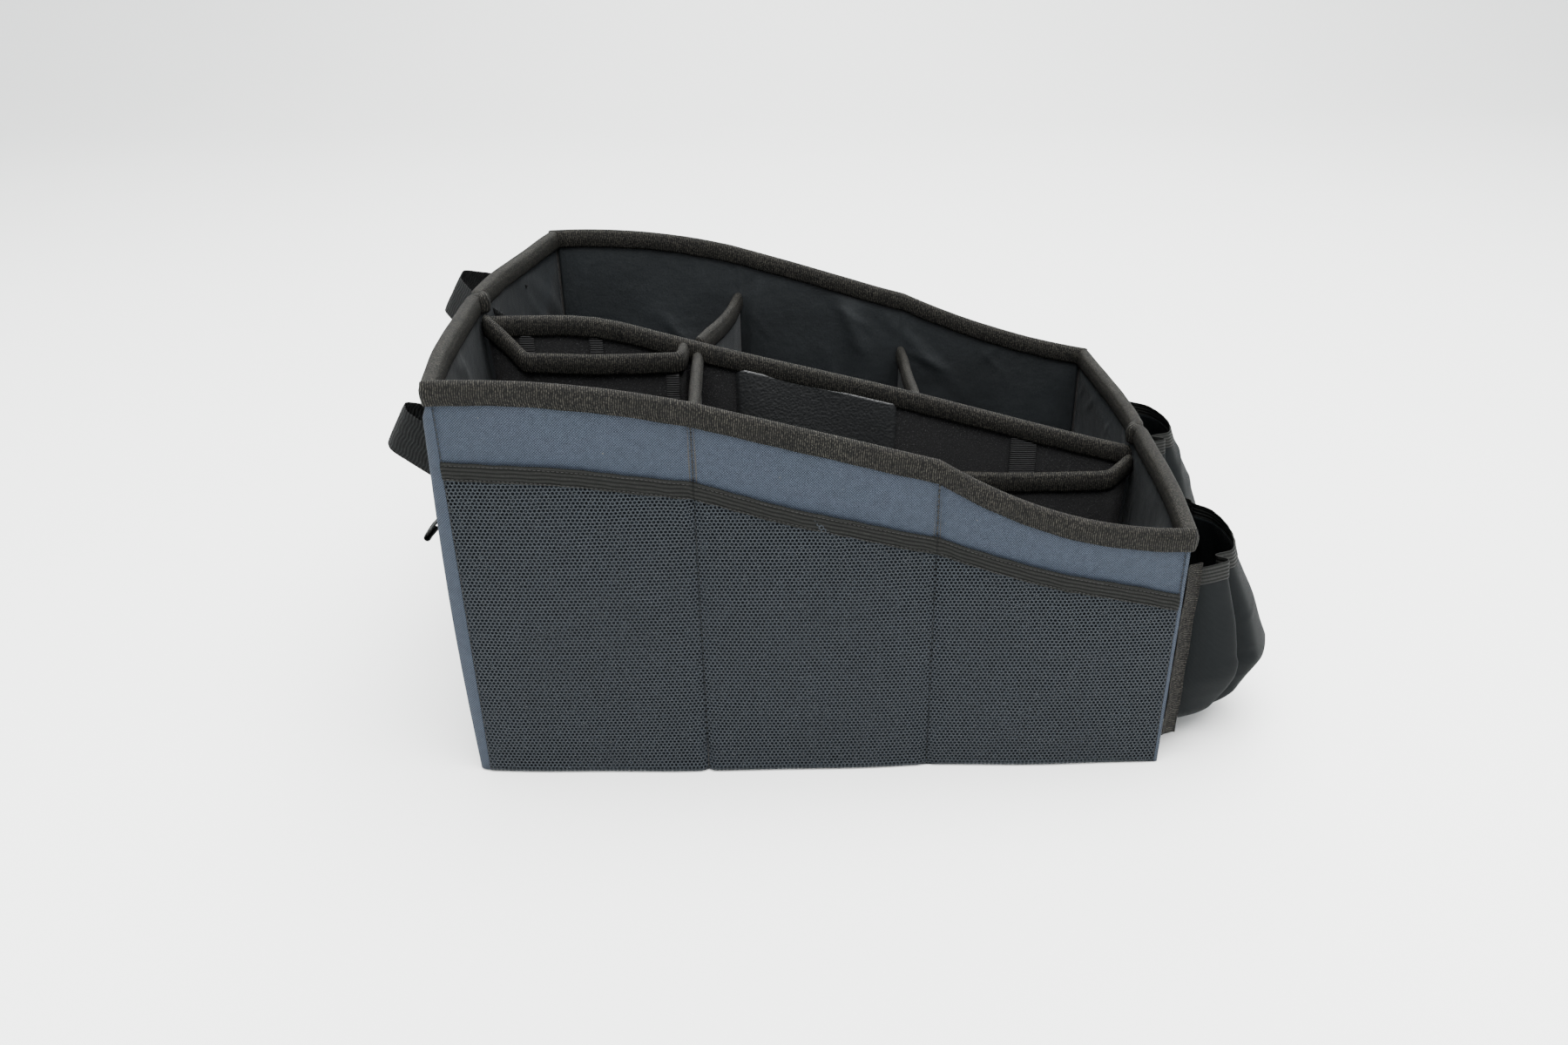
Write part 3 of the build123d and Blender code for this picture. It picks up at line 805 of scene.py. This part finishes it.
x = np.linspace(-228.5, 221.0, 290)
EDGES["divider"] = spread(x, -0.1 + sway(x, divider_top(x)), divider_top(x) - 1.0)
tape("divider_binding", EDGES["divider"], 3.3, 11.5, ["divider_tape"], seed=24)

points = divider_face(-4.3, -58.0, 52.0, low=84.0, drop=10.0, deep=0.6)
t, s = np.linspace(0, 1, 60)[:, None], np.linspace(-1, 1, 40)[None, :]
points[..., 1] -= 0.9 * (1 - s**6) * np.sin(pi * t) - 1.2 * np.abs(s) ** 12
grained = cloth("grained_pocket", points, "grained_sheet", ["grain_pocket"], 1.0)

ribbed = []
for middle, wide in ((-200.0, 10.0), (-152.5, 9.0), (142.0, 18.0)):
    points = divider_face(-3.3, middle - wide / 2, middle + wide / 2, low=70.0, drop=10.0, deep=0.1)
    points[..., 1] -= 0.35 * (1 - s**4)
    uv = cloth_uv(points)[..., ::-1]
    mesh = grid_mesh("strip", points, uv)
    ribbed.append(piece(f"ribbed_strip_{len(ribbed) + 1}", mesh, "ribbed_strip", thick=0.7))
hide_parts("divider_ribbed_strips")
print("divider made")

# %% [markdown]
# ## Two flat pockets and the cross dividers
# The flat pockets are stiff panels that stand in front of the divider with level tops. In plan each one is a
# path with softened corners. The ends of the path lean out with the end wall, more at the top than at the
# floor. The cross dividers are made by the same function, since each is also an upright sheet on a path.


# %% Upright sheets on a path
def upright(path, top, thick, low=FLOOR, lean=None, soften=6, waves=0.4, seed=1):
    """Closed panel: the path's points, shifted to each side by half the thickness, from floor to top."""
    plan = even_path(path, 2.0, soften)
    far = arc_length(plan[None], 1)[0]
    s = far / far[-1]
    right = square_to(plan)
    ring = np.concatenate([np.full(len(plan), 0.5), np.full(len(plan), -0.5)])
    along = np.concatenate([np.arange(len(plan)), np.arange(len(plan))[::-1]])
    ends = 1 - 0.7 * (np.minimum(s, 1 - s) < 1e-6)
    ring = ring * ends[along]
    t = np.linspace(0, 1, 40)[:, None]
    z = low + (top(s)[along][None, :] - low) * t
    points = np.empty((len(t), len(along), 3))
    points[..., 2] = z
    bend = waves * np.sin(far / 19.0 + seed)[along][None, :] * np.sin(pi * t)
    bend = bend + waves * np.sin(z / 31.0 + seed)
    shift = ring[None, :] * thick + bend * ease(np.minimum(s, 1 - s) * 8)[along][None, :]
    points[..., :2] = plan[along, :2][None] + right[along][None] * shift[..., None]
    if lean is not None:
        points += lean(s[along][None, :], z)
    uv = np.stack([np.broadcast_to(far[along], z.shape), z], -1)
    uv = np.concatenate([uv, uv[:, :1]], 1) * MM
    return points, uv, plan, s


def top_edge(plan, s, top, lean=None):
    """The path that a panel's tape follows."""
    z = top(s)
    path = np.concatenate([plan[:, :2], z[:, None]], 1)
    if lean is not None:
        path = path + lean(s[None, :], z[None, :])[0]
    return path


def closed_panel(name, grid, uv, finish, covers, body="tote"):
    """A ring of points from floor to top, with its foot and head drawn together so it is closed."""
    middle = (grid + grid[:, ::-1]) / 2
    points = np.concatenate([middle[:1], grid, middle[-1:]], 0)
    uv = np.concatenate([uv[:1], uv, uv[-1:]], 0)
    mesh = grid_mesh(name, points, uv, wrap=True, flip=True)
    return piece(name, mesh, finish, covers, body)


def leaning(end, start_first):
    """Panel ends follow the end wall: they lean out with height, fading along the path."""

    def lean(s, z):
        near = 1 - ease((s if start_first else 1 - s) / 0.16)
        out = end * (bow(end, np.array(9.0), np.minimum(z, TALL if end < 0 else LOW)) - 2.6)
        return np.stack([out * near, 0 * z * s, 0 * z * s], -1)

    return lean


for name, path, end, level, high in (
    ("left", [(-210.5, -7), (-197, -28), (-93, -28), (-93, -5.5)], -1, 229.0, 21.0),
    ("right", [(70, -5.5), (70, -28), (198, -28), (211.0, -7)], 1, 142.0, 4.0),
):
    first = end < 0

    def top(s, first=first, level=level, high=high):
        near = s if first else 1 - s
        return level - 1.0 + high * (1 - ease(near / 0.20)) ** 1.3 + 0.5 * np.sin(s * 9)

    lean = leaning(end, first)
    grid, uv, plan, s = upright(path, top, 2.2, lean=lean, waves=0.5, seed=4)
    faced = [f"{name}_panel_face", f"{name}_panel_board"]
    closed_panel(f"{name}_pocket_panel", grid, uv, "loop_pile", faced)
    EDGES[name + "_pocket"] = edge = top_edge(plan, s, top, lean)
    tape(f"{name}_pocket_binding", edge, 2.7, 11.5, [f"{name}_panel_tape"], nose=2.0, seed=33)

z = np.linspace(40, 217, 50)[:, None]
x = np.linspace(-103.0, -94.0, 12)[None, :]
points = spread(x, -29.6 - 0.5 * (1 - ((x + 98.5) / 4.5) ** 4), z)
mesh = grid_mesh("edge", points, cloth_uv(points)[..., ::-1])
piece("left_pocket_edge_strip", mesh, "ribbed_strip", thick=0.6)

turn = radians(4.4)
reach = np.array([-sin(turn), cos(turn)])
hinge = np.array([-72.0, -160.0])
path = [hinge + reach * 1.0, hinge + reach * 154.3]
flap_top = lambda s: 233.0 - 11.0 * s + 0.5 * np.sin(s * 11)
grid, uv, plan, s = upright(path, flap_top, 2.8, waves=0.5, seed=2)
closed_panel("cross_flap", grid, uv, "lining", ["front_cross_divider"], "cross_flap")
EDGES["flap"] = top_edge(plan, s, flap_top)
covers = ["front_cross_divider_tape"]
tape("cross_flap_binding", EDGES["flap"], 2.8, 11.5, covers, "cross_flap", nose=2.0, seed=9)

for number, path, high, low, covers in (
    (1, [(-84, 6.5), (-76, 55), (-69, 110), (-67, 163.9)], 227.0, 213.0, ["back_cross_divider_tapes"]),
    (2, [(66.5, 6.5), (65, 160.3)], 185.0, 168.0, []),
):
    back_top = lambda s, high=high, low=low: high + (low - high) * s + 0.6 * np.sin(s * 10)
    grid, uv, plan, s = upright(path, back_top, 2.8, waves=0.8, seed=number)
    closed_panel(f"cross_wall_{number}", grid, uv, "lining", [f"back_cross_divider_{number}"])
    EDGES[f"cross_{number}"] = edge = top_edge(plan, s, back_top)
    tape(f"cross_wall_binding_{number}", edge, 2.8, 11.5, covers, nose=2.0, seed=number)
print("inside made", len(EDGES), "edges")

# %% [markdown]
# ## Bottle pockets
# These two pockets are stretch cloth gathered by elastic. Around the pocket the plan is half an oval, and its
# depth and width change with height: narrow at the bottom, fullest a third of the way up, drawn in at the
# mouth. One upright crease, where the empty cloth has folded, parts it into two lobes.

# %% Bottle pockets
BOTTLE_Z = np.array([8.0, 13, 25, 54, 92, 128, 142])
BOTTLE_DEEP = np.array([5.0, 36, 60, 75, 61, 42, 39])
BOTTLE_HALF = np.array([8.0, 38, 48, 54, 54, 54, 54])


def smooth_through(z, knots, values):
    """A curve through given heights: straight pieces averaged over a window, which rounds its corners."""
    offsets = np.linspace(-9, 9, 19)
    weights = np.exp(-((offsets / 5.0) ** 2))
    weights /= weights.sum()
    return sum(w * np.interp(z + o, knots, values) for o, w in zip(offsets, weights))


def pocket_plan(z, around, middle, mirror):
    """Place of the pocket's cloth at a height and an angle from the wall's near edge to its far edge."""
    deep = smooth_through(z, BOTTLE_Z, BOTTLE_DEEP) - 1.0 + 8.0 * (middle > 0)
    half = smooth_through(z, BOTTLE_Z, BOTTLE_HALF)
    full = np.sin(around) ** 0.85
    up = np.clip((z - 8) / 134, 0, 1)
    crease_at = 0.92 + 0.05 * np.sin(z / 30.0) - 0.26 * (1 - up)
    crease = 0.42 * bell(around, crease_at, 0.11) * ease(up * 4.0) * (1 - 0.30 * up)
    front_lobe = 0.10 * bell(around, crease_at - 0.24, 0.16) * up
    outer_lobe = 0.10 * bell(around, 1.55, 0.45) * (1 - up) - 0.03
    second = 0.16 * bell(around, 2.35, 0.13) * up
    out = deep * full * (1 - crease + front_lobe + outer_lobe - second)
    along = -np.cos(around) * half
    y = middle + mirror * along
    x = HALF_LENGTH + bow(1, np.clip(y, -159, 159), np.clip(z, 0, LOW)) + 0.8 + out
    return x, y


for name, middle, mirror, seed, mouth in (("near", -98.0, 1, 81, 131.0), ("far", 90.0, 1, 85, 129.0)):
    z = np.concatenate([np.linspace(8.3, 30, 18)[:-1], np.linspace(30, mouth - 3, 62)])[:, None]
    around = np.linspace(0.0, pi, 190)[None, :]
    z = z - 3.0 * ease(around / pi) * (z - 8) / 120
    x, y = pocket_plan(z, around, middle, mirror)
    wrinkle = folds(y + 0 * z, z + 0 * y, seed, 22, (middle - 60, middle + 60, 25, 135), 26, 5.0, 1.1)
    gather = 0.3 * np.sin(around * 34) * ease((z - 112) / 20)
    x = x + (wrinkle + gather) * np.sin(around) ** 0.5
    covers = [f"bottle_pocket_{name}"]
    bag = cloth(f"bottle_cloth_{name}", spread(x, y, z), "stretch_fabric", covers, 1.0)
    t = np.linspace(-1, 1, 21)[:, None]
    z = mouth + 6.0 * t - 3.0 * ease(around / pi) + 0.6 * np.sin(around * 3.2 + 0.5)
    x, y = pocket_plan(np.clip(z, 22, 142), around, middle, mirror)
    bulge = 0.8 * np.sqrt(np.clip(1 - t**4, 0, 1)) + 0.12 * np.cos(t * 5 * pi)
    x = x + (bulge + 0.12 * np.sin(around * 34)) * np.sin(around) ** 0.5 + 0.3
    points = spread(x, y, z)
    piece(
        f"bottle_elastic_band_{name}", grid_mesh("band", points, cloth_uv(points)), "elastic",
        [f"bottle_elastic_{name}"], thick=1.8,
    )

# %% [markdown]
# ## Side tapes and webbing
# A ribbed tape covers the pocket's two raw edges. The belt loops are webbing about 28 mm wide. A flat band
# is a path with a width: the path is drawn in the plane that the band bends in, and every point is carried
# sideways.


# %% Flat bands
def band(name, path, side, width, finish, covers=(), body="tote", thick=1.8, roll=0.25, offset=-1.0):
    """A band of webbing: points of a path carried sideways by half a width each way, edges rolled."""
    w = np.linspace(-1, 1, 15)[None, :, None]
    way = np.gradient(path, axis=0)
    way /= np.linalg.norm(way, axis=1, keepdims=True)
    side = np.broadcast_to(np.asarray(side, float), path.shape)
    up = np.cross(way, side)
    up /= np.linalg.norm(up, axis=1, keepdims=True)
    points = path[:, None, :] + side[:, None, :] * (w * width / 2) - up[:, None, :] * (roll * w**6)
    far = arc_length(path[None], 1)[0]
    uv = np.stack([far[:, None] + 0 * w[..., 0], w[..., 0] * width / 2 + 0 * far[:, None]], -1) * MM
    return piece(name, grid_mesh(name, points, uv), finish, covers, body, thick, offset)


# The belt loops and the tab are sewn to the tall end wall, which bows out by WALL_BOW at its top.
WALL_BOW = 19.0
LOOP_WIDE, TAB_WIDE, SIDE_TAPE_WIDE = 27.6, 19.6, 9.5
TAB_AT, TAB_HIGH, TAB_ANGLE = -140.0, 172.0, 42.0

side_tapes = []
for middle in (-98.0, 98.0):
    for s in (-1, 1):
        y = middle + s * 58.5
        z = np.linspace(20.5, 143.5, 70)
        y_line = y + 0.5 * np.sin(z / 19.0 + middle)
        x = HALF_LENGTH + bow(1, y_line, z) + 2.1 + 0.25 * np.sin(z / 6.0)
        edge = s * middle > 0
        path = np.stack([x + 2.4 * edge, y_line + 0.8 * s * edge, z], -1)
        way = (0.93, -0.37 * s, 0) if edge else (0, 1, 0)
        name = f"side_binding_{len(side_tapes) + 1}"
        side_tapes.append(band(name, path, way, SIDE_TAPE_WIDE, "binding_tape", thick=1.2, roll=0.8))
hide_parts("bottle_side_tapes")


def loop_line(middle, height, tilt, points):
    """A belt loop's line in a plane that tilts up from the wall, and the direction of its width."""
    flat = even_path(points, 1.2, 10)
    root = -(HALF_LENGTH + WALL_BOW * height / TALL * (1 - abs(middle) / 172))
    a = radians(tilt)
    out, side = np.array([-cos(a), 0, sin(a)]), np.array([sin(a), 0, cos(a)])
    line = np.array([root, middle, height]) + flat[:, :1] * out + np.array([0, 1, 0]) * flat[:, 1:]
    return line, side


near = [(1, 17.2), (6, 17), (28, 12), (39, 3), (34, -7), (6, -13), (1, -13.2)]
far = [(1, 40.3), (4, 40), (26, 28), (43, 6), (41, -12), (22, -28), (1, -31.9)]
for name, place, points in (("near", (-126.0, 202.5, 30.0), near), ("far", (55.0, 228.5, 31.0), far)):
    line, side = loop_line(*place, points)
    band(f"belt_loop_{name}", line, side, LOOP_WIDE, "webbing", [f"webbing_loop_{name}"])

hang = radians(TAB_ANGLE)
wall = HALF_LENGTH + WALL_BOW * TAB_HIGH / TALL * (1 + TAB_AT / 172)
pivot = np.array([-wall - 5.0, TAB_AT, TAB_HIGH])
a = np.linspace(-pi / 2, pi / 2, 14)
fold = np.concatenate(
    [np.stack([np.full(12, -1.6), np.linspace(-1, -19, 12)], -1),
     np.stack([2.2 * np.sin(a[1:-1]), -20.4 - 2.2 * np.cos(a[1:-1])], -1),
     np.stack([np.full(12, 1.6), np.linspace(-19, -1, 12)], -1)]
)
out = np.array([-cos(hang), 0, sin(hang)])
down = np.array([sin(hang), 0, cos(hang)])
path = pivot + fold[:, :1] * out + fold[:, 1:] * down
band("hanging_tab", path, (0, 1, 0), TAB_WIDE, "webbing", ["webbing_tab"], "tab", thick=1.4, offset=0.0)
z = np.linspace(173, 182, 20)
path = spread(-(HALF_LENGTH + bow(-1, np.array(TAB_AT), z)) - 1.3, TAB_AT, z)
band("tab_patch", path, (0, 1, 0), 20.0, "webbing", ["hinge_seams"], thick=1.4, roll=0.6)
path = spread(-72.0, -162.6, np.linspace(FLOOR, 229, 30))
band("flap_seam", path, (0.05, 1, 0), 6.0, "lining", thick=1.0, offset=0.0)
print("bands made")

# %% [markdown]
# ## Stitches
# Thousands of stitches would be slow to place one by one, so all the stitches of one seam are a single mesh.
# A small rounded thread of a few faces is copied to every place on a line at once, by adding arrays.


# %% Rows of stitches
def stitches(name, line, out, pitch=3.0, length=2.1, radius=0.28, body="tote"):
    """Copies of one short thread along a line, each turned along it and lifted off the cloth."""
    line, out = np.asarray(line, float), np.asarray(out, float)
    far = arc_length(line[None], 1)[0]
    at = np.arange(pitch / 2, far[-1], pitch)
    place = np.stack([np.interp(at, far, line[:, i]) for i in range(3)], -1)
    ahead = np.stack([np.interp(at + 0.4, far, line[:, i]) for i in range(3)], -1)
    out = np.broadcast_to(out, line.shape)
    up = np.stack([np.interp(at, far, out[:, i]) for i in range(3)], -1)
    way = ahead - place
    way[-1] = way[-2]
    way /= np.linalg.norm(way, axis=1, keepdims=True)
    across = np.cross(way, up)
    across /= np.linalg.norm(across, axis=1, keepdims=True)
    up = np.cross(across, way)
    ring = np.linspace(0, 2 * pi, 7)[:-1]
    lengthwise = np.array([-1, -0.8, 0, 0.8, 1.0]) * length / 2
    fat = np.array([0.05, 0.75, 1.0, 0.75, 0.05]) * radius
    sunk = np.array([-0.8, -0.25, 0.15, -0.25, -0.8]) * radius
    a = (fat[:, None] * np.cos(ring)).ravel()
    b = (fat[:, None] * np.sin(ring) + sunk[:, None]).ravel()
    c = np.repeat(lengthwise, 6)
    points = place[:, None]
    for direction, amount in ((across, a), (up, b), (way, c)):
        points = points + direction[:, None] * amount[:, None]
    i, j = np.meshgrid(np.arange(4), np.arange(6), indexing="ij")
    beside = (j + 1) % 6
    quads = np.stack([i * 6 + j, (i + 1) * 6 + j, (i + 1) * 6 + beside, i * 6 + beside], -1).reshape(-1, 4)
    quads = (quads[None] + (np.arange(len(at)) * 30)[:, None, None]).reshape(-1, 4)
    mesh = bpy.data.meshes.new(name)
    mesh.from_pydata((points.reshape(-1, 3) * MM).tolist(), [], quads.tolist())
    mesh.polygons.foreach_set("use_smooth", np.ones(len(quads), bool))
    made = bpy.data.objects.new(name, mesh)
    bpy.context.scene.collection.objects.link(made)
    mesh.materials.append(FINISHES["thread"])
    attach(made, body)
    return made


for name, path in EDGES.items():
    half = {"divider": 3.4, "front": 3.1, "back": 3.1, "tall_end": 4.0, "low_end": 4.0}.get(name, 2.8)
    right = square_to(path)
    body = "cross_flap" if name == "flap" else "tote"
    for way, label in ((1, "out"), (-1, "in")):
        line = path[4:-4].copy()
        line[:, :2] -= way * right[4:-4] * (half - 0.05)
        line[:, 2] -= 8.6
        out = np.concatenate([-way * right[4:-4], np.zeros((len(line), 1))], 1)
        stitches(f"{name}_stitches_{label}", line, out, body=body)

for number, (low, high) in enumerate(POCKETS, 1):
    x = np.linspace(low + 2, high - 2, 120)
    part = (x - low) / (high - low)
    mouth = mouth_line(x) - 2.0 - 1.4 * np.sin(pi * part)
    for label, level in (("top", 0.0), ("bottom", -8.4)):
        z = mouth + level
        y = -(half_depth(x) + np.maximum(slack(x, z, 3), -0.2) + stand(x, low, high) + 1.05)
        stitches(f"elastic_stitches_{number}_{label}", spread(x, y, z), (0, -1, 0), 2.6, 1.8, 0.24)

for number, s in enumerate(SEAMS, 1):
    z = np.linspace(2, float(rim(s)) - 12, 160)
    for side in (-1, 1):
        y = side * (half_depth(s) + slack(s + 0 * z, z, 3 if side < 0 else 8) + 0.25)
        label = f"{number}_{'front' if side < 0 else 'back'}"
        stitches(f"seam_{label}", spread(s, y, z), (0, side, 0), 3.4, 2.9, 0.55)
        # A black satin strip along each seam: the seam's dark line, widened with painted shade of its pucker
        # groove.
        path = spread(s + 0.3 * np.sin(z / 7.0), y - side * 0.15, z)
        band(f"seam_line_{label}", path, (1, 0, 0), 2.8, "lining", thick=0.3, roll=0.2)
for end in (-1, 1):
    for side in (-1, 1):
        z = np.linspace(3, (TALL if end < 0 else LOW) - 12, 140)
        x = np.full_like(z, end * (HALF_LENGTH - 3.4))
        y = np.full_like(z, side * (float(half_depth(end * HALF_LENGTH)) + 0.75))
        label = f"{'tall' if end < 0 else 'low'}_{'front' if side < 0 else 'back'}"
        stitches(f"corner_stitches_{label}", spread(x, y, z), (0, side, 0), 2.8, 2.0, 0.25)

# %% [markdown]
# ## Floor, light and camera
# A pale sheet of floor curves up behind the tote like a photographer's sweep, so there is no horizon. The
# light is soft and comes from above: one broad lamp overhead, a weak one at the front left, one behind, and a
# bright even world. The camera looks down at about 27 degrees from in front.

# %% Stage, lights, camera
x = np.linspace(-6, 6, 60)[None, :]
run = np.linspace(-3, 7, 120)[:, None]
back, curve = 2.4, 1.2
round_by = np.clip((run - back) / curve, 0, pi / 2)
y = np.where(run < back, run, back + curve * np.sin(round_by))
z = np.where(run < back, 0, curve * (1 - np.cos(round_by)))
z = z + np.clip(run - back - curve * pi / 2, 0, 9) - 0.0006
sweep = Finish("sweep")
cloudy = sweep.noise(0.5, 3.0)
paler = sweep.mix(cloudy, (0.88, 0.89, 0.87, 1), (0.92, 0.925, 0.91, 1))
sweep.feed(Base_Color=paler, Roughness=0.8 + 0.1 * cloudy)
points = spread(x, y, z) / MM
floor = bpy.data.objects.new("floor", grid_mesh("floor", points, points[..., :2] * MM))
floor.data.materials.append(FINISHES["sweep"])
bpy.context.scene.collection.objects.link(floor)


def lamp(name, place, aim, size, watts):
    """A square area light at a place, turned to look at a point."""
    light = bpy.data.lights.new(name, "AREA")
    light.size, light.energy = size, watts
    made = bpy.data.objects.new(name, light)
    bpy.context.scene.collection.objects.link(made)
    way = Vector(aim) - Vector(place)
    made.matrix_world = Matrix.Translation(place) @ way.to_track_quat("-Z", "Y").to_matrix().to_4x4()


lamp("overhead", (0.2, -0.35, 2.4), (0, 0, 0.1), 2.6, 300.0)
lamp("front_left", (-1.9, -1.6, 1.7), (0, 0, 0.12), 1.8, 12.0)
lamp("behind", (0.2, 2.6, 2.2), (0, 0.4, 0.1), 2.0, 60.0)
world = bpy.data.worlds.new("studio")
world.use_nodes = True
sky = world.node_tree.nodes["Background"].inputs
sky["Color"].default_value, sky["Strength"].default_value = (0.95, 0.975, 1.0, 1), 1.3
bpy.context.scene.world = world

yaw, pitch, roll = radians(-2.07), radians(27.37), radians(-1.02)
ahead = Vector((sin(yaw) * cos(pitch), cos(yaw) * cos(pitch), -sin(pitch)))
level = Vector((cos(yaw), -sin(yaw), 0))
upward = level.cross(ahead)
right = level * cos(roll) + upward * sin(roll)
upright_way = -level * sin(roll) + upward * cos(roll)
lens = bpy.data.cameras.new("camera")
lens.lens, lens.sensor_width, lens.sensor_fit = 27.0, 36.0, "HORIZONTAL"
camera = bpy.data.objects.new("camera", lens)
bpy.context.scene.collection.objects.link(camera)
turned = Matrix((right, upright_way, -ahead)).transposed().to_4x4()
camera.matrix_world = Matrix.Translation((0.00039, -0.76488, 0.48588)) @ turned
bpy.context.scene.camera = camera
